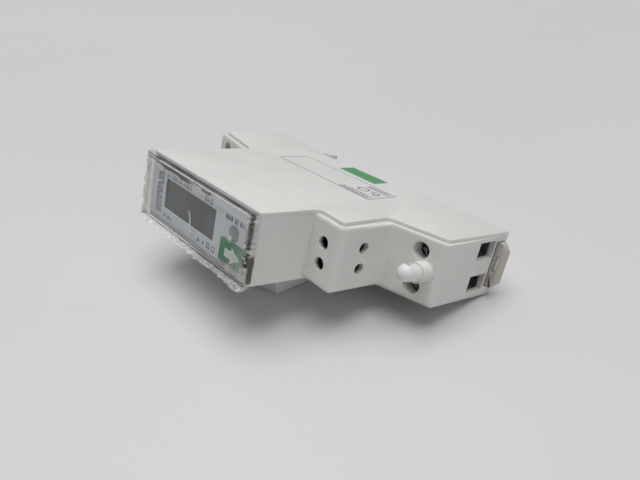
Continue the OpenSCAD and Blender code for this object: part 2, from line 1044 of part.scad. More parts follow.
// The sliding clip: a flat tongue that hooks the rail, two spring arms cut free of it,
// and a thicker grip outside the shell with a slot for a screwdriver
module rail_clip() {
    near = rail_near - clip_lip;
    nose_bevel = 1.5;
    grip_start = end_x - recess_depth + channel_play;
    arm_slot = [12, 1];
    arm_w = 1.6;
    stud_play = stud_r + 0.3;
    lead_in = 0.5;
    grip_cut = [1.5, 1.8];
    grip_bevel = 0.9;
    tool_slot = [0.1, 0.9];
    tool_half = 2.1;
    clip_z1 = module_w - clip_z0;
    color(CLIP)
        place() {
            difference() {
                translate([0, clip_y1, 0])
                    rotate([90, 0, 0])
                        linear_extrude(clip_y1 - clip_y0)
                            difference() {
                                polygon([
                                    [near, clip_z0 + nose_bevel], [near + nose_bevel, clip_z0],
                                    [grip_start + 0.5, clip_z0], [grip_start + 0.5, clip_z1],
                                    [near + nose_bevel, clip_z1], [near, clip_z1 - nose_bevel]
                                ]);
                                // Slots that free the spring arms
                                for (z = [clip_z0 + arm_w, clip_z1 - arm_w - arm_slot[1]])
                                    translate([near + 12, z])
                                        square(arm_slot);
                                // Slot for the stud that ends the clip's travel
                                translate([stud_x - stud_play - clip_travel, mid_z - stud_play])
                                    square([2 * stud_play + clip_travel, 2 * stud_play]);
                            }
                // Bevel that lets the rail push the clip open
                translate([near, clip_y1 - lead_in, 0])
                    rotate([0, 0, 30])
                        translate([-4, 0, 0])
                            cube([6, 2, module_w]);
            }
            difference() {
                translate([0, clip_y1, 0])
                    rotate([90, 0, 0])
                        linear_extrude(clip_y1 - grip_y0)
                            polygon(rounded([
                                [grip_start, clip_z0, 0],
                                [grip_x - grip_cut[0], clip_z0, 0.8],
                                [grip_x, clip_z0 + grip_cut[1], 0.8],
                                [grip_x, clip_z1 - grip_cut[1], 0.8],
                                [grip_x - grip_cut[0], clip_z1, 0.8],
                                [grip_start, clip_z1, 0]
                            ]));
                // The front edge is cut back at a slant
                translate([grip_x - grip_bevel, grip_y0, -1])
                    rotate([0, 0, -45])
                        cube([3 * grip_bevel, 2 * grip_bevel, module_w + 2]);
                block([end_x + tool_slot[0], seat_y, mid_z - tool_half],
                    [end_x + tool_slot[1], body_d, mid_z + tool_half]);
            }
        }
}

housing_shell();
side_cover();
front_lens();
protective_film();
face_label();
lcd_holder();
lcd_glass();
lcd_connectors();
light_pipe();
pulse_led();
display_board();
key_switch();
scroll_key();
switch_plunger();
main_board();
board_header();
processor_chip();
metering_chip();
crystal_can();
film_capacitor();
supply_capacitor();
varistor();
optocoupler();
line_in_bar();
line_out_bar();
shunt();
sense_leads();
neutral_bar();
near_barrier();
far_barrier();
sealing_plug();
rail_clip();
signal_block();
signal_contacts();
line_in_cage();
line_in_screw();
neutral_in_cage();
neutral_in_screw();
line_out_cage();
line_out_screw();
neutral_out_cage();
neutral_out_screw();
signal_a_cage();
signal_a_screw();
signal_b_cage();
signal_b_screw();
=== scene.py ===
"""Looks of a single-phase electricity meter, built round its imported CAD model."""

import json
import math
import random

import bmesh
import bpy
from mathutils import Matrix, Vector, noise


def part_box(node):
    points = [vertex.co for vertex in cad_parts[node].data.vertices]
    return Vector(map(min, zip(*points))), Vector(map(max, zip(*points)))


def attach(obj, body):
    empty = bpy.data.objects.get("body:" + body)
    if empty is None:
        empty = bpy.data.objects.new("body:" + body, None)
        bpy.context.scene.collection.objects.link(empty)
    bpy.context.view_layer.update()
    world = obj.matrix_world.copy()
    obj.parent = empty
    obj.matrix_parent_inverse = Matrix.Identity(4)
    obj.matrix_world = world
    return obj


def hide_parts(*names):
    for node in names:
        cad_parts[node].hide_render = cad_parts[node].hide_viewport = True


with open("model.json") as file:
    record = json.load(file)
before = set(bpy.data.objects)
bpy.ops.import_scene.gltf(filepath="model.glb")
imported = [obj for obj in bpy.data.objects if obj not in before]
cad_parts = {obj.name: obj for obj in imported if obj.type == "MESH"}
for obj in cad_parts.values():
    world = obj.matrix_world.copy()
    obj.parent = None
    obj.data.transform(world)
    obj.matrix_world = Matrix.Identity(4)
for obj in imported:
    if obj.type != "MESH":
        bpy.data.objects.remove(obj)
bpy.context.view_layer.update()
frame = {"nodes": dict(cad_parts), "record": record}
MM = 0.001

# The working axes start at the nose's corner: x along its height, y back from its face, z up
# from the lower side plate. In them, these are the faces that carry print and the label's corner
LABEL_Y = -0.7
KEY_Y = -1.3
LID_Z = 17.5
LABEL_CORNER = Vector((1.5, LABEL_Y, 1.5))
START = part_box("face_label")[0] - LABEL_CORNER * MM


def at(x, y, z):
    """A point given in the working axes, in mm, as a point of the model's frame in metres."""
    return START + Vector((x, y, z)) * MM


def add_object(name, data):
    obj = bpy.data.objects.new(name, data)
    bpy.context.scene.collection.objects.link(obj)
    return obj


def mesh_from(bm, name):
    """Turns a finished bmesh into a mesh."""
    mesh = bpy.data.meshes.new(name)
    bm.to_mesh(mesh)
    bm.free()
    return mesh


# ---------- Materials ----------


def new_material(name):
    """A material with one shader on it: (material, shader)."""
    mat = bpy.data.materials.new(name)
    mat.use_nodes = True
    nodes = mat.node_tree.nodes
    nodes.clear()
    out = nodes.new("ShaderNodeOutputMaterial")
    shader = nodes.new("ShaderNodeBsdfPrincipled")
    mat.node_tree.links.new(shader.outputs[0], out.inputs[0])
    return mat, shader


def node(mat, kind, **values):
    n = mat.node_tree.nodes.new(kind)
    for key, value in values.items():
        setattr(n, key, value)
    return n


def link(mat, a, b):
    mat.node_tree.links.new(a, b)


def noise_field(mat, scale, detail, rough=0.5, stretch=(1, 1, 1)):
    """Noise over the object's own coordinates. scale is in features per metre."""
    coords = node(mat, "ShaderNodeTexCoord")
    mapping = node(mat, "ShaderNodeMapping")
    mapping.inputs["Scale"].default_value = stretch
    link(mat, coords.outputs["Object"], mapping.inputs[0])
    tex = node(mat, "ShaderNodeTexNoise")
    tex.inputs["Scale"].default_value = scale
    tex.inputs["Detail"].default_value = detail
    tex.inputs["Roughness"].default_value = rough
    link(mat, mapping.outputs[0], tex.inputs["Vector"])
    return tex.outputs["Fac"]


def ramp(mat, source, stops):
    """The source, from 0 to 1, as a colour. stops are (place, colour) pairs."""
    r = node(mat, "ShaderNodeValToRGB")
    r.color_ramp.interpolation = "LINEAR"
    while len(r.color_ramp.elements) < len(stops):
        r.color_ramp.elements.new(0.5)
    for element, (place, colour) in zip(r.color_ramp.elements, stops):
        element.position = place
        element.color = (*colour, 1.0)
    link(mat, source, r.inputs[0])
    return r.outputs[0]


def remap(mat, source, from_low, from_high, to_low=0.0, to_high=1.0):
    """The source carried from one range to another and held at its ends. Either may run down."""
    m = node(mat, "ShaderNodeMapRange")
    m.inputs["From Min"].default_value = from_low
    m.inputs["From Max"].default_value = from_high
    m.inputs["To Min"].default_value = to_low
    m.inputs["To Max"].default_value = to_high
    link(mat, source, m.inputs["Value"])
    return m.outputs["Result"]


# Noise seldom leaves this range
NOISE_RANGE = (0.3, 0.7)


def spread(mat, source, low, high):
    """A noise field as a number from low to high."""
    return remap(mat, source, *NOISE_RANGE, low, high)


def math_node(mat, operation, a, b):
    out = node(mat, "ShaderNodeMath", operation=operation)
    link(mat, a, out.inputs[0])
    link(mat, b, out.inputs[1])
    return out.outputs[0]


def own_axes(mat):
    """The object's own coordinates, whole and split into X, Y and Z."""
    coords = node(mat, "ShaderNodeTexCoord").outputs["Object"]
    split = node(mat, "ShaderNodeSeparateXYZ")
    link(mat, coords, split.inputs[0])
    return coords, split.outputs


def mixed(mat, factor, base, colour):
    """The base at factor 0 and the colour at 1."""
    mix = node(mat, "ShaderNodeMix", data_type="RGBA")
    mix.inputs["B"].default_value = (*colour, 1)
    link(mat, factor, mix.inputs["Factor"])
    link(mat, base, mix.inputs["A"])
    return mix.outputs["Result"]


def bump(mat, shader, fields, strength=0.3):
    """Adds bumps from (field, height in metres) pairs, one after the other."""
    last = None
    for field, height in fields:
        b = node(mat, "ShaderNodeBump")
        b.inputs["Strength"].default_value = strength
        b.inputs["Distance"].default_value = height
        link(mat, field, b.inputs["Height"])
        if last:
            link(mat, last, b.inputs["Normal"])
        last = b.outputs[0]
    link(mat, last, shader.inputs["Normal"])


def shade(colour, factor):
    """The colour made darker or lighter."""
    return tuple(min(1.0, c * factor) for c in colour)


def surface(name, colour, rough, vary=0.06, grain=2600, grain_h=2e-5, **extra):
    """A finish with a slow colour drift, patchy gloss and a fine grain."""
    mat, shader = new_material(name)
    slow = noise_field(mat, 60, 4)
    fine = noise_field(mat, grain, 2)
    link(mat, ramp(mat, slow, [(0.25, shade(colour, 1 - vary)), (0.75, shade(colour, 1 + vary))]),
         shader.inputs["Base Color"])
    link(mat, spread(mat, noise_field(mat, 240, 3), rough * 0.85, rough * 1.15),
         shader.inputs["Roughness"])
    for key, value in extra.items():
        shader.inputs[key.replace("_", " ")].default_value = value
    bump(mat, shader, [(fine, grain_h)])
    return mat


def brushed(name, colour, rough):
    """Plated steel with fine marks along it and small dull patches."""
    mat, shader = new_material(name)
    marks = noise_field(mat, 900, 3, 0.6, (0.12, 1, 1))
    patches = noise_field(mat, 420, 3)
    link(mat, ramp(mat, patches, [(0.3, shade(colour, 0.78)), (0.6, colour)]),
         shader.inputs["Base Color"])
    link(mat, spread(mat, marks, rough * 0.7, rough * 1.4), shader.inputs["Roughness"])
    shader.inputs["Metallic"].default_value = 1.0
    bump(mat, shader, [(marks, 3e-5)])
    return mat


def clear(name, tint, rough, alpha_low, alpha_high, scale=120):
    """A clear plastic: mostly open to what is behind it, with a milky, patchy film of its own."""
    mat, shader = new_material(name)
    patchy = noise_field(mat, scale, 4)
    shader.inputs["Base Color"].default_value = (*tint, 1)
    link(mat, spread(mat, noise_field(mat, 500, 2), rough * 0.7, rough * 1.3),
         shader.inputs["Roughness"])
    link(mat, spread(mat, patchy, alpha_low, alpha_high), shader.inputs["Alpha"])
    shader.inputs["IOR"].default_value = 1.5
    shader.inputs["Specular IOR Level"].default_value = 0.7
    bump(mat, shader, [(noise_field(mat, 300, 2), 2e-5)], 0.15)
    return mat


# Painted shade in the bay behind the signal terminals' holes. Each row is an axis and the two
# places on it, in the working axes, between which the shell's colour turns dark as painted shade
PAINTED_SHADE_BAY = [("X", 55.3, 54.6), ("Y", 15.3, 16.2), ("X", 46.9, 47.1), ("Z", 1.2, 1.3),
            ("Z", 14.6, 14.5)]


def shell_material(name):
    """Satin white plastic, with painted shade over the deep bay behind the signal terminals' holes.
    """
    mat = surface(name, (0.72, 0.72, 0.7), 0.48, vary=0.025, grain=4200, grain_h=3e-5,
                  Subsurface_Weight=0.04, Subsurface_Scale=0.002)
    shader = next(n for n in mat.node_tree.nodes if n.type == "BSDF_PRINCIPLED")
    _, axes = own_axes(mat)
    shaded = None
    for axis, light, dark in PAINTED_SHADE_BAY:
        corner = START["XYZ".index(axis)]
        past = remap(mat, axes[axis], corner + light * MM, corner + dark * MM)
        shaded = math_node(mat, "MULTIPLY", shaded, past) if shaded else past
    base = shader.inputs["Base Color"].links[0].from_socket
    # Painted shade: near-black over the bay, where no light reaches
    link(mat, mixed(mat, shaded, base, (0.03, 0.03, 0.03)), shader.inputs["Base Color"])
    return mat


def board_material():
    """Solder mask over a darker weave, with lighter tracks."""
    mat, shader = new_material("circuit_board")
    coords = node(mat, "ShaderNodeTexCoord")
    brick = node(mat, "ShaderNodeTexBrick")
    brick.inputs["Scale"].default_value = 260
    brick.inputs["Mortar Size"].default_value = 0.06
    for place, colour in (("Color1", (0.012, 0.11, 0.04)), ("Color2", (0.018, 0.14, 0.05)),
                          ("Mortar", (0.03, 0.24, 0.09))):
        brick.inputs[place].default_value = (*colour, 1)
    link(mat, coords.outputs["Object"], brick.inputs["Vector"])
    link(mat, brick.outputs["Color"], shader.inputs["Base Color"])
    shader.inputs["Roughness"].default_value = 0.32
    bump(mat, shader, [(brick.outputs["Fac"], 3e-5), (noise_field(mat, 3000, 2), 1e-5)])
    return mat


def display_material():
    """Dark display glass: green-grey at one end, bluer and darker at the other, one warm spot."""
    mat, shader = new_material("lcd_glass")
    coords, axes = own_axes(mat)
    far_edge, near_edge = at(7.4, 0, 0).x, at(30.1, 0, 0).x
    base = ramp(mat, remap(mat, axes["X"], far_edge, near_edge), [
        (0.0, (0.045, 0.056, 0.072)), (0.35, (0.05, 0.07, 0.058)),
        (0.62, (0.032, 0.042, 0.038)), (1.0, (0.03, 0.036, 0.046))])
    warm = node(mat, "ShaderNodeVectorMath", operation="DISTANCE")
    warm.inputs[1].default_value = at(10.6, -0.3, 11.2)
    link(mat, coords, warm.inputs[0])
    near = remap(mat, warm.outputs["Value"], 0.0, 2.2 * MM, 0.5, 0.0)
    link(mat, mixed(mat, near, base, (0.12, 0.09, 0.06)), shader.inputs["Base Color"])
    shader.inputs["Roughness"].default_value = 0.12
    bump(mat, shader, [(noise_field(mat, 90, 2), 1e-5)], 0.1)
    return mat


FINISHES = {
    "shell_white": shell_material,
    "clear_lens": lambda n: clear(n, (0.86, 0.88, 0.88), 0.1, 0.03, 0.06),
    "clear_film": lambda n: clear(n, (0.84, 0.85, 0.83), 0.2, 0.12, 0.4, 700),
    "label": lambda n: surface(n, (0.66, 0.69, 0.73), 0.42, vary=0.03, grain=6000,
                               grain_h=5e-6),
    "holder_white": lambda n: surface(n, (0.68, 0.68, 0.66), 0.5, vary=0.03),
    "lcd_glass": lambda n: display_material(),
    "elastomer": lambda n: surface(n, (0.5, 0.14, 0.17), 0.75, vary=0.1, grain=1500,
                                   grain_h=4e-5),
    "clear_pipe": lambda n: clear(n, (0.4, 0.43, 0.44), 0.2, 0.6, 0.8),
    "led_body": lambda n: surface(n, (0.7, 0.6, 0.35), 0.3),
    "circuit_board": lambda n: board_material(),
    "black_plastic": lambda n: surface(n, (0.02, 0.02, 0.022), 0.55, vary=0.2, grain=3000,
                                       grain_h=3e-5),
    "key_green": lambda n: surface(n, (0.012, 0.2, 0.085), 0.34, vary=0.08, grain=3500,
                                   grain_h=1e-5),
    "plunger_white": lambda n: surface(n, (0.7, 0.7, 0.68), 0.45),
    "crystal_steel": lambda n: brushed(n, (0.6, 0.6, 0.62), 0.3),
    "film_cap_yellow": lambda n: surface(n, (0.5, 0.3, 0.03), 0.35, vary=0.12),
    "cap_sleeve_blue": lambda n: surface(n, (0.012, 0.02, 0.1), 0.3, vary=0.15),
    "varistor_blue": lambda n: surface(n, (0.012, 0.05, 0.3), 0.4, vary=0.15, grain=1400,
                                       grain_h=6e-5),
    "copper_bar": lambda n: brushed(n, (0.72, 0.36, 0.22), 0.35),
    "manganin": lambda n: brushed(n, (0.4, 0.3, 0.24), 0.5),
    "contact_brass": lambda n: brushed(n, (0.7, 0.5, 0.18), 0.32),
    "seal_nylon": lambda n: surface(n, (0.78, 0.78, 0.77), 0.42, vary=0.03, grain=900,
                                    grain_h=8e-5),
    "clip_grey": lambda n: surface(n, (0.52, 0.5, 0.455), 0.35, vary=0.06, grain=1800,
                                   grain_h=3e-5, Subsurface_Weight=0.2,
                                   Subsurface_Scale=0.003),
    "block_grey": lambda n: surface(n, (0.035, 0.037, 0.04), 0.5),
    "cage_steel": lambda n: brushed(n, (0.55, 0.55, 0.56), 0.4),
    "screw_steel": lambda n: brushed(n, (0.6, 0.59, 0.57), 0.3),
}
materials = {name: make(name) for name, make in FINISHES.items()}
slot_of = {part["node"]: part["material_slot"] for part in frame["record"]["subparts"]}
# Painted shade: the signal terminals, deep in their holes where shadow falls, get a near-black
# steel
shade_steel = brushed("steel_in_painted_shade", (0.035, 0.035, 0.037), 0.5)
for name, obj in frame["nodes"].items():
    in_hole_shade = name.startswith(("signal_a_", "signal_b_"))
    obj.data.materials.clear()
    obj.data.materials.append(shade_steel if in_hole_shade else materials[slot_of[name]])

# ---------- Pieces ----------


def piece(name, mesh, slot_name, body, mat=None, smooth=False):
    """Puts a mesh in the scene as a piece that moves with a body."""
    mesh.materials.append(mat or materials[slot_name])
    if smooth:
        for p in mesh.polygons:
            p.use_smooth = True
    obj = add_object(name, mesh)
    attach(obj, body)
    return obj


# Points closer than this are one, and faces that meet within this angle are one flat face
SAME_POINT = 0.002 * MM
SAME_PLANE = math.radians(0.6)


def cad_mesh(name):
    """A CAD node's mesh as one joined bmesh, its flat faces merged."""
    bm = bmesh.new()
    bm.from_mesh(frame["nodes"][name].data)
    bmesh.ops.remove_doubles(bm, verts=bm.verts, dist=SAME_POINT)
    bmesh.ops.dissolve_limit(bm, angle_limit=SAME_PLANE, verts=bm.verts, edges=bm.edges)
    return bm


def apply_modifiers(obj):
    """Replaces the object's mesh by the mesh its modifiers make."""
    deps = bpy.context.evaluated_depsgraph_get()
    mesh = bpy.data.meshes.new_from_object(obj.evaluated_get(deps))
    obj.modifiers.clear()
    obj.data = mesh


# Edges sharper than this are rounded
SHARP_EDGE = math.radians(28)


def softened(name, width, body="meter"):
    """The CAD node with its edges rounded as a moulded part's are."""
    mesh = mesh_from(cad_mesh(name), name + "_moulded")
    obj = piece(name + "_moulded", mesh, slot_of[name], body, smooth=True)
    edge = obj.modifiers.new("edge", "BEVEL")
    edge.width = width * MM
    edge.segments = 2
    edge.limit_method = "ANGLE"
    edge.angle_limit = SHARP_EDGE
    edge.harden_normals = True
    edge.use_clamp_overlap = True
    apply_modifiers(obj)
    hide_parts(name)


softened("side_cover", 0.2)
softened("rail_clip", 0.3, "clip")
softened("scroll_key", 0.15, "key")

# ---------- Lens and film ----------


def crumple(x, y, z, size, seed=0.0):
    """Sharp folds: the distance between two layers of noise, from 0 on a crease to about 1."""
    p = Vector((x, y, z)) / size + Vector((seed, seed * 2.1, -seed))
    a = noise.noise(p)
    b = noise.noise(p * 2.3 + Vector((7.7, 3.1, 1.9)))
    return min(1.0, abs(a) * 1.6 + abs(b) * 0.6)


def blend(v, v0, v1):
    """0 below v0, 1 above v1 and smooth between them. The other way round if v0 is above v1."""
    t = min(1.0, max(0.0, (v - v0) / (v1 - v0)))
    return t * t * (3 - 2 * t)


def bar_at(v, centre, half):
    """1 at the centre of a line and 0 at its edges and beyond."""
    return 1 - blend(abs(v - centre), half * 0.35, half)


# The film's section from the far side of the nose over its front to the near side, in (x, y)
FILM_SECTION = [(-0.2, 2.4), (-0.95, 0.6), (-1.15, -0.6), (-0.5, -1.75), (0.6, -1.85),
                (22.0, -1.8), (44.0, -1.85), (45.3, -1.75), (45.75, -1.0), (45.5, -0.1)]
FILM_STEP = 0.2
FILM_THICK = 0.06
FILM_LOW, FILM_HIGH = 0.55, 17.3
# How far a fold may lift the film
LIFT_MIN, LIFT_MAX = -0.08, 0.5
# How far the torn edge may stand out from the lens, and how far forward it may reach
FLARE_MAX = 1.55
FILM_FRONT = -3.65
# A curl of glare over the display: from (x, z) to (x, z), and how wide
CURL = [((21.3, 8.9), (22.2, 6.8), 0.32), ((22.2, 6.8), (22.5, 3.6), 0.4),
        ((20.9, 5.6), (21.2, 3.8), 0.28)]
# The rows below the lens stand out from it in a loose, torn skirt
FILM_ROWS = 88
SKIRT_ROWS = 16
# Painted shade where the lens's edges show through as dark lines: (place, half width)
SIDE_LINES = [(16.95, 0.2), (16.2, 0.16), (0.75, 0.2), (1.4, 0.14)]
END_LINES = [(0.55, 0.22), (1.35, 0.16)]


def film_profile():
    """The section as close, even points."""
    points = []
    for (x0, y0), (x1, y1) in zip(FILM_SECTION, FILM_SECTION[1:]):
        n = max(2, int(math.hypot(x1 - x0, y1 - y0) / FILM_STEP))
        points += [(x0 + (x1 - x0) * i / n, y0 + (y1 - y0) * i / n) for i in range(n)]
    return points + [FILM_SECTION[-1]]


def lens_lines(x, z, wave):
    """Painted shade in two lines along each side and two at the far end, where the lens's edges
    show through.
    """
    lines = 0.0
    for level, half in SIDE_LINES:
        thin = 0.85 if z < 9 else 0.3 + 0.5 * blend(x, 34, 22)
        lines = max(lines, thin * bar_at(z, level + wave * 0.4, half))
    for level, half in END_LINES:
        lines = max(lines, 0.6 * bar_at(x, level + wave * 0.5, half))
    return lines


def air_pocket_shade(x, z, wave):
    """Painted shade over the air under the film: a long pointed pocket beside the lens's edge and a
    short one after it.
    """
    long_pocket = blend(x, 1.8, 10) * blend(x, 22.6, 17.5)
    short_pocket = blend(x, 24.6, 26) * blend(x, 30.2, 28)
    ends = blend(x, 0.8, 2.0) * blend(x, 23.2, 21.5)
    half = 0.12 + 0.5 * long_pocket
    pocket = bar_at(z, 16.0 - 0.02 * x + wave, half) * (0.35 + 0.5 * long_pocket) * ends
    return max(pocket, 0.8 * bar_at(z, 15.75 + wave, 0.35) * short_pocket)


def display_curl(x, z):
    """The curl of glare over the display."""
    curl = 0.0
    for (ax, az), (bx, bz), half in CURL:
        length2 = (bx - ax) ** 2 + (bz - az) ** 2
        t = min(1.0, max(0.0, ((x - ax) * (bx - ax) + (z - az) * (bz - az)) / length2))
        off = math.hypot(x - ax - t * (bx - ax), z - az - t * (bz - az))
        curl = max(curl, 0.75 * bar_at(off, 0.0, half))
    return curl


def film_marks(x, z, c):
    """How dark and how milky the film looks at a place on the nose: (dark, milk)."""
    wave = 0.25 * noise.noise(Vector((x * 0.35, z * 0.35, 5.0)))
    on_front = blend(x, -0.6, 0.2) * blend(x, 45.6, 45.2)
    # A crumpled band past the label's near end: painted shade, darker outwards, with painted
    # reflections on the pale folds across it
    band = blend(x, 42.6 + 0.5 * wave, 43.3) * blend(x, 46.2, 45.6)
    fine = noise.noise(Vector((x * 0.9, z * 2.1, 1.7)))
    fold = max(blend(c, 0.26, 0.12), blend(fine, 0.0, 0.3))
    deep = (0.2 + 0.5 * blend(x, 43.6, 45.0)) * blend(z, 3.0, 6.5)
    dark = max(lens_lines(x, z, wave), air_pocket_shade(x, z, wave), band * deep * (1 - 0.8 * fold))
    # Pale patches: a glare over the key's near corner and a spot of light on the pulse window
    patch = noise.noise(Vector((x * 0.5, z * 0.5, 8.0)))
    corner = blend(x - 0.55 * z + 2.5 * patch, 35.6, 37.2) * blend(z, 8.2, 7.2)
    glare = 0.32 * corner * blend(x, 42.9, 42.5) * (0.5 + 0.5 * blend(patch, -0.1, 0.25))
    lamp = 0.7 * bar_at(math.hypot((x - 38.3) / 0.8, (z - 9.1) / 1.1), 0.0, 1.0)
    top_haze = 0.2 * bar_at(z, 15.2 + wave, 1.1)
    milk = max(band * (0.3 + 0.4 * fold), top_haze, glare, display_curl(x, z), lamp)
    return max(0.0, dark * on_front), milk


def torn_reach(x, y):
    """How far the skirt stands out from the lens at its torn edge."""
    torn = 1.2 * abs(noise.noise(Vector((x * 0.31, 0.0, 9.1)))) + 0.6 * abs(
        noise.noise(Vector((x * 1.1, 2.0, 9.1))))
    return (0.5 + 1.3 * torn) * blend(y, 0.5, -1.0) + 0.7 * blend(x, 36, 43)


def film_mesh():
    """The film as a grid of rows round the nose, each point with its milkiness and darkness."""
    bm = bmesh.new()
    fold = bm.verts.layers.float.new("fold")
    dark = bm.verts.layers.float.new("dark")
    profile = film_profile()
    grid = []
    for i, (x, y) in enumerate(profile):
        before, after = profile[max(0, i - 1)], profile[min(len(profile) - 1, i + 1)]
        d = Vector((after[0] - before[0], after[1] - before[1]))
        d.normalize()
        out = Vector((d.y, -d.x))
        reach = torn_reach(x, y)
        high = FILM_HIGH + 0.15 * noise.noise(Vector((x * 0.8, y, 3.3)))
        column = []
        for k in range(-SKIRT_ROWS, FILM_ROWS + 1):
            if k < 0:
                t = -k / SKIRT_ROWS
                ragged = 0.25 * noise.noise(Vector((x * 1.7, y, t * 2.0)))
                z = FILM_LOW - (FILM_LOW + 0.35) * math.sin(t * 1.4)
                flare = min(FLARE_MAX, reach + ragged) * t ** 1.3
            else:
                z = FILM_LOW + (high - FILM_LOW) * k / FILM_ROWS
                flare = 0.0
            # The folds lift the film at the nose's ends and lower edge, and hardly in the middle
            c = crumple(x, y, z + flare, 3.2) * 0.6 + crumple(x, y, z + flare, 1.3, 4.2) * 0.4
            near = blend(x, 42.5, 44.5) * (0.45 + 0.3 * blend(y, -1.4, -1.8))
            edge = min(1.0, max(blend(x, 0.6, -0.6), near, blend(z, 1.2, 0.3)))
            lift = max(LIFT_MIN, min(LIFT_MAX, (0.05 + 0.55 * edge) * (c - 0.25)))
            front = max(FILM_FRONT, y + out.y * lift - flare)
            vert = bm.verts.new(at(x + out.x * lift, front, z))
            shadow, milk = film_marks(x, z, c)
            crease = min(1.0, max(0.0, (0.13 - c) * 6))
            if k < 0:
                # The skirt is milky all over, in lighter and darker specks
                speck = noise.noise(Vector((x * 1.3, t * 3.0, 4.0)))
                shadow = 0.3 * blend(speck, 0.1, 0.4)
                milk = 0.26 + 0.3 * crease + 0.2 * blend(speck, -0.05, -0.35)
            # The flaps round both ends of the nose have a haze of their own
            side = max(0.3 * blend(x, 0.3, -0.3), 0.12 * blend(x, 45.3, 45.7))
            # Painted shade of a gap along the nose's near edge, under the film's flap
            gap = blend(y, -1.7, -1.2) * blend(x, 44.9, 45.3)
            gap *= blend(z, 8.5, 6.5) * blend(z, 0.9, 1.6)
            shadow = max(shadow, 0.9 * gap)
            # The creases' paleness is partly the film's own milkiness and partly painted highlight
            crest = crease * (0.12 + (0.25 if k < 0 else 0.6) * edge)
            vert[fold] = min(1.0, max(milk, crest, side))
            vert[dark] = shadow
            column.append(vert)
        grid.append(column)
    for a, b in zip(grid, grid[1:]):
        for k in range(len(a) - 1):
            bm.faces.new((a[k], a[k + 1], b[k + 1], b[k]))
    bmesh.ops.recalc_face_normals(bm, faces=bm.faces)
    return mesh_from(bm, "film_sheet")


def film_material():
    """Clear film: nearly open where it lies flat, milky on its folds, where the paleness is partly
    painted highlight, and darkened by painted shade over pockets of air.
    """
    mat, shader = new_material("film_clear")
    fold = node(mat, "ShaderNodeAttribute", attribute_name="fold")
    dark = node(mat, "ShaderNodeAttribute", attribute_name="dark")
    # The dark attribute carries painted shade, which turns the film dark olive
    tone = ramp(mat, dark.outputs["Fac"],
                [(0.05, (0.8, 0.81, 0.79)), (0.45, (0.07, 0.068, 0.055))])
    link(mat, tone, shader.inputs["Base Color"])
    shader.inputs["IOR"].default_value = 1.5
    shader.inputs["Specular IOR Level"].default_value = 0.8
    link(mat, spread(mat, noise_field(mat, 900, 2), 0.1, 0.25), shader.inputs["Roughness"])
    marked = math_node(mat, "MAXIMUM", fold.outputs["Fac"], dark.outputs["Fac"])
    link(mat, remap(mat, marked, 0.0, 1.0, 0.03, 0.85), shader.inputs["Alpha"])
    bump(mat, shader, [(noise_field(mat, 1200, 3), 4e-5)])
    return mat


film = piece("film_sheet", film_mesh(), "clear_film", "meter", film_material(), True)
skin = film.modifiers.new("skin", "SOLIDIFY")
skin.thickness = FILM_THICK * MM
skin.offset = 0
apply_modifiers(film)
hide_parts("protective_film")
softened("front_lens", 0.12)

# ---------- Print on the label, the key and the cover ----------


def slab(bm, outline, depth, normal_axis, level):
    """A thin flat piece from an outline of 2D points, raised towards the outside."""
    low, high = [], []
    for a, b in outline:
        if normal_axis == "y":
            low.append(bm.verts.new(at(a, level, b)))
            high.append(bm.verts.new(at(a, level - depth, b)))
        else:
            low.append(bm.verts.new(at(a, b, level)))
            high.append(bm.verts.new(at(a, b, level + depth)))
    n = len(outline)
    bm.faces.new(low)
    bm.faces.new(list(reversed(high)))
    for i in range(n):
        bm.faces.new((low[i], high[i], high[(i + 1) % n], low[(i + 1) % n]))


def print_piece(name, outlines, axis, level, body, mat, slot_name, depth=0.02):
    """A printed layer made of flat outlines on one face."""
    bm = bmesh.new()
    for outline in outlines:
        slab(bm, outline, depth, axis, level)
    bmesh.ops.recalc_face_normals(bm, faces=bm.faces)
    piece(name, mesh_from(bm, name), slot_name, body, mat)


def rect(x0, y0, x1, y1):
    return [(x0, y0), (x1, y0), (x1, y1), (x0, y1)]


# The share of a row's pitch that its bars fill
ROW_FILL = 0.6


def fine_print(seed, x0, y0, x1, y1, rows, word, gap):
    """Rows of short bars with uneven lengths, the way small print looks from a distance."""
    rng = random.Random(seed)
    out = []
    pitch = (y1 - y0) / rows
    for r in range(rows):
        y = y0 + r * pitch
        x = x0 + rng.uniform(0, 0.3)
        while x < x1 - 0.2:
            end = min(x1, x + rng.uniform(*word))
            out.append(rect(x, y, end, y + pitch * ROW_FILL))
            x = end + gap * rng.uniform(0.7, 1.4)
    return out


def turned(outlines):
    """The outlines with their two axes swapped."""
    return [[(b, a) for a, b in reversed(o)] for o in outlines]


def outline_box(x0, y0, x1, y1, w):
    """A box's outline with lines of width w."""
    return [rect(x0, y0, x1, y0 + w), rect(x0, y1 - w, x1, y1),
            rect(x0, y0 + w, x0 + w, y1 - w), rect(x1 - w, y0 + w, x1, y1 - w)]


def arc(cx, cy, r, a0, a1, w, steps=10):
    """A curved line of width w, from angle a0 to a1 in degrees."""
    outer, inner = [], []
    for i in range(steps + 1):
        a = math.radians(a0 + (a1 - a0) * i / steps)
        outer.append((cx + (r + w / 2) * math.cos(a), cy + (r + w / 2) * math.sin(a)))
        inner.append((cx + (r - w / 2) * math.cos(a), cy + (r - w / 2) * math.sin(a)))
    return outer + inner[::-1]


ink_dark = surface("ink_dark", (0.13, 0.15, 0.22), 0.5, vary=0.3, grain=3000)
ink_grey = surface("ink_grey", (0.22, 0.23, 0.25), 0.5, vary=0.2, grain=3000)
ink_white = surface("ink_white", (0.6, 0.66, 0.63), 0.4, vary=0.04, grain=3000)
ink_green = surface("ink_green", (0.1, 0.33, 0.16), 0.45, vary=0.05, grain=3000)


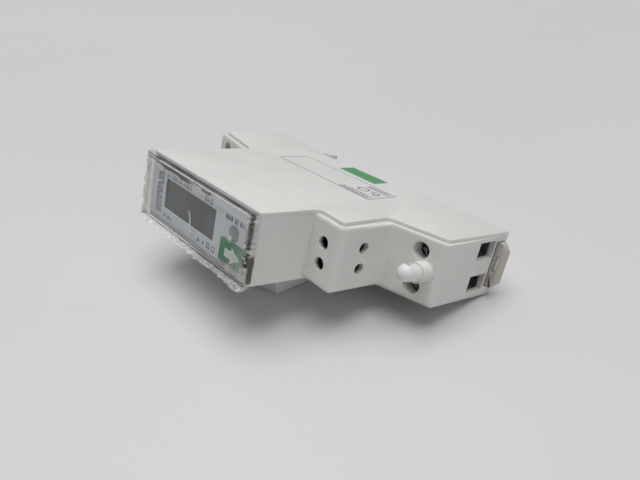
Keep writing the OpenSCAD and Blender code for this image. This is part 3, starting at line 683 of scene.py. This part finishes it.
def glyphs(seed, x0, y0, x1, high, stroke, across=0.62):
    """A row of made-up marks as large as print: uprights, with a bar or two between them."""
    rng = random.Random(seed)
    out = []
    x = x0
    wide = high * across
    while x + wide <= x1:
        out.append(rect(x, y0, x + stroke, y0 + high))
        if rng.random() < 0.6:
            out.append(rect(x + wide - stroke, y0, x + wide, y0 + high))
        for level in rng.sample((0.0, 0.42, 1.0), rng.choice((1, 2))):
            y = y0 + (high - stroke) * level
            out.append(rect(x + stroke, y, x + wide - stroke * rng.choice((0, 1)), y + stroke))
        x += wide + high * (0.24 if rng.random() < 0.85 else 0.7)
    return out


# The column beside the label's far edge reads along the module's width
column = turned(glyphs(3, 3.0, 4.1, 15.0, 1.45, 0.36, 0.72)
                + glyphs(4, 3.0, 5.7, 15.0, 1.2, 0.3, 0.72))
head_row = glyphs(5, 8.4, 13.3, 15.4, 1.1, 0.2) + glyphs(6, 16.2, 13.25, 20.6, 1.2, 0.22)
unit_row = glyphs(8, 25.4, 13.1, 29.6, 1.4, 0.28)
rate_row = glyphs(9, 34.3, 12.3, 37.4, 1.1, 0.32) + glyphs(10, 37.8, 12.3, 40.4, 1.1, 0.32)
rate_row += glyphs(11, 40.8, 12.4, 42.0, 0.9, 0.14)
low_row = glyphs(12, 8.2, 2.5, 12.6, 0.9, 0.17)
print_piece("label_print", column + head_row + unit_row + rate_row + low_row, "y", LABEL_Y,
            "meter", ink_dark, "label")

symbols = [
    arc(31.2, 3.1, 0.65, 0, 360, 0.3), *outline_box(28.3, 2.4, 29.8, 3.9, 0.34),
    rect(29.0, 2.9, 29.3, 3.3), rect(26.6, 2.6, 27.3, 3.4),
    [(24.2, 2.5), (25.5, 2.5), (24.85, 3.8)],
]
print_piece("label_symbols", symbols, "y", LABEL_Y, "meter", ink_dark, "label")
# The ring round the pulse light
print_piece("led_ring", [arc(38.0, 9.95, 1.75, 0, 360, 0.3, 40)], "y", LABEL_Y, "meter",
            ink_grey, "label")

# The arrow's shaft and head about the middle of the key
kx, kz = 39.1, 5.05
arrow = [(kx - 2.7, kz - 1.0), (kx - 0.3, kz - 1.0), (kx - 0.3, kz - 2.0), (kx + 2.9, kz),
         (kx - 0.3, kz + 2.0), (kx - 0.3, kz + 1.0), (kx - 2.7, kz + 1.0)]
print_piece("key_arrow", [arrow], "y", KEY_Y, "key", ink_white, "key_green", 0.03)

lid_lines = outline_box(7.2, 35.8, 43.2, 47.2, 0.3)
lid_marks = fine_print(21, 31.8, 36.2, 42.3, 38.9, 3, (0.5, 1.5), 0.3)
lid_marks += fine_print(22, 34.6, 44.4, 42.2, 46.6, 3, (0.4, 1.0), 0.25)
lid_marks += [arc(36.2, 41.6, 1.5, 0, 360, 0.5, 24), arc(39.9, 41.6, 1.5, -70, 160, 0.5, 16),
              rect(39.4, 41.2, 40.4, 42.0)]
print_piece("cover_print", lid_lines + lid_marks, "z", LID_Z, "meter", ink_grey,
            "shell_white", 0.015)
print_piece("cover_bar", [rect(18.9, 49.5, 33.1, 55.6)], "z", LID_Z, "meter", ink_green,
            "shell_white", 0.02)

# ---------- Floor, light and camera ----------

FLOOR_HALF = 20.0


def studio_floor():
    """A wide, flat, pale floor in metres."""
    bm = bmesh.new()
    bm.faces.new([bm.verts.new((x, y, 0))
                  for x, y in rect(-FLOOR_HALF, -FLOOR_HALF, FLOOR_HALF, FLOOR_HALF)])
    mat, shader = new_material("floor")
    tone = ramp(mat, noise_field(mat, 3, 2),
                [(0.3, (0.63, 0.63, 0.63)), (0.7, (0.66, 0.66, 0.655))])
    link(mat, tone, shader.inputs["Base Color"])
    shader.inputs["Roughness"].default_value = 0.6
    obj = add_object("floor", mesh_from(bm, "floor"))
    obj.data.materials.append(mat)
    return obj


# The meter leans: its back edge is on the floor and its nose on a small block. Seen from the
# meter, which lies square in its own frame, it's the floor that slopes down towards the nose
FLOOR_NORMAL = Vector((0.0, -0.2806, 1.0)).normalized()
FLOOR_POINT = (35, 60, -0.05)
level = FLOOR_NORMAL.to_track_quat("Z", "Y").to_matrix().to_4x4()
floor = studio_floor()
floor.matrix_world = Matrix.Translation(at(*FLOOR_POINT)) @ level
# The stand block stops this far below the meter
STAND_GAP = 0.1


def stand_block(corner, size, sides_deg, rounding):
    """A block on the floor, up to the meter's underside. Its nearest corner is given in (x, y)."""
    along, back = [Vector((math.cos(math.radians(a)), math.sin(math.radians(a))))
                   for a in sides_deg]
    foot = [Vector(corner), Vector(corner) + along * size[0]]
    foot += [foot[1] + back * size[1], foot[0] + back * size[1]]
    slope = -FLOOR_NORMAL.y / FLOOR_NORMAL.z
    bm = bmesh.new()
    rings = [[], []]
    for x, y in foot:
        z = slope * (y - FLOOR_POINT[1]) + FLOOR_POINT[2]
        low = Vector((x, y, z))
        high = low + FLOOR_NORMAL * ((-STAND_GAP - z) / FLOOR_NORMAL.z)
        rings[0].append(bm.verts.new(at(*low)))
        rings[1].append(bm.verts.new(at(*high)))
    for k in range(4):
        n = (k + 1) % 4
        bm.faces.new((rings[0][k], rings[0][n], rings[1][n], rings[1][k]))
    for ring in rings:
        bm.faces.new(ring)
    bmesh.ops.recalc_face_normals(bm, faces=bm.faces)
    bmesh.ops.bevel(bm, geom=list(bm.edges), offset=rounding * MM, segments=3,
                    affect="EDGES", profile=0.5)
    mesh = mesh_from(bm, "stand")
    mesh.materials.append(surface("stand_white", (0.93, 0.93, 0.92), 0.6, vary=0.02))
    return add_object("stand", mesh)


stand = stand_block((34.2, 19.8), (24, 24), (196, 84), 0.5)


# Daylight from a wide ceiling, with a little more from four sides: the direction it comes from,
# seen from the floor, and its strength
LAMPS = {
    "ceiling": ((0, 0, 1), 2.15),
    "near_side": ((0.6, 0, 0.8), 0.3),
    "far_side": ((-0.6, 0, 0.8), 0.45),
    "behind": ((0, 0.6, 0.8), 0.2),
    "low_near": ((0.85, -0.2, 0.45), 0.32),
}
# As soft as a large window
LAMP_SPREAD = math.radians(50)
for name, (come_from, strength) in LAMPS.items():
    data = bpy.data.lights.new(name, "SUN")
    data.angle = LAMP_SPREAD
    data.energy = strength
    lamp = add_object(name, data)
    lamp.rotation_euler = (level @ Vector(come_from)).to_track_quat("Z", "Y").to_euler()

ROOM_COLOUR = (0.93, 0.96, 1.0, 1)
ROOM_STRENGTH = 0.62
world = bpy.data.worlds.new("studio")
world.use_nodes = True
world.node_tree.nodes["Background"].inputs[0].default_value = ROOM_COLOUR
world.node_tree.nodes["Background"].inputs[1].default_value = ROOM_STRENGTH
# The room past the floor's rim is only seen; the light comes from the lamps and the floor
world.cycles_visibility.diffuse = False
world.cycles_visibility.glossy = False
world.cycles_visibility.transmission = False
bpy.context.scene.world = world
bpy.context.scene.view_settings.view_transform = "Standard"

# The camera's own axes and place, in metres
RIGHT = Vector((0.6674, 0.7170, 0.2012))
UP = Vector((-0.3933, 0.1099, 0.9128))
BACK = Vector((0.6324, -0.6883, 0.3554))
CAMERA_PLACE = (0.10669, -0.10528, 0.05849)
cam_data = bpy.data.cameras.new("camera")
cam_data.lens = 32.96
cam_data.sensor_width = 36
cam_data.clip_start = 0.005
camera = add_object("camera", cam_data)
turn = Matrix((RIGHT, UP, BACK)).transposed()
camera.matrix_world = Matrix.Translation(CAMERA_PLACE) @ turn.to_4x4()
bpy.context.scene.camera = camera
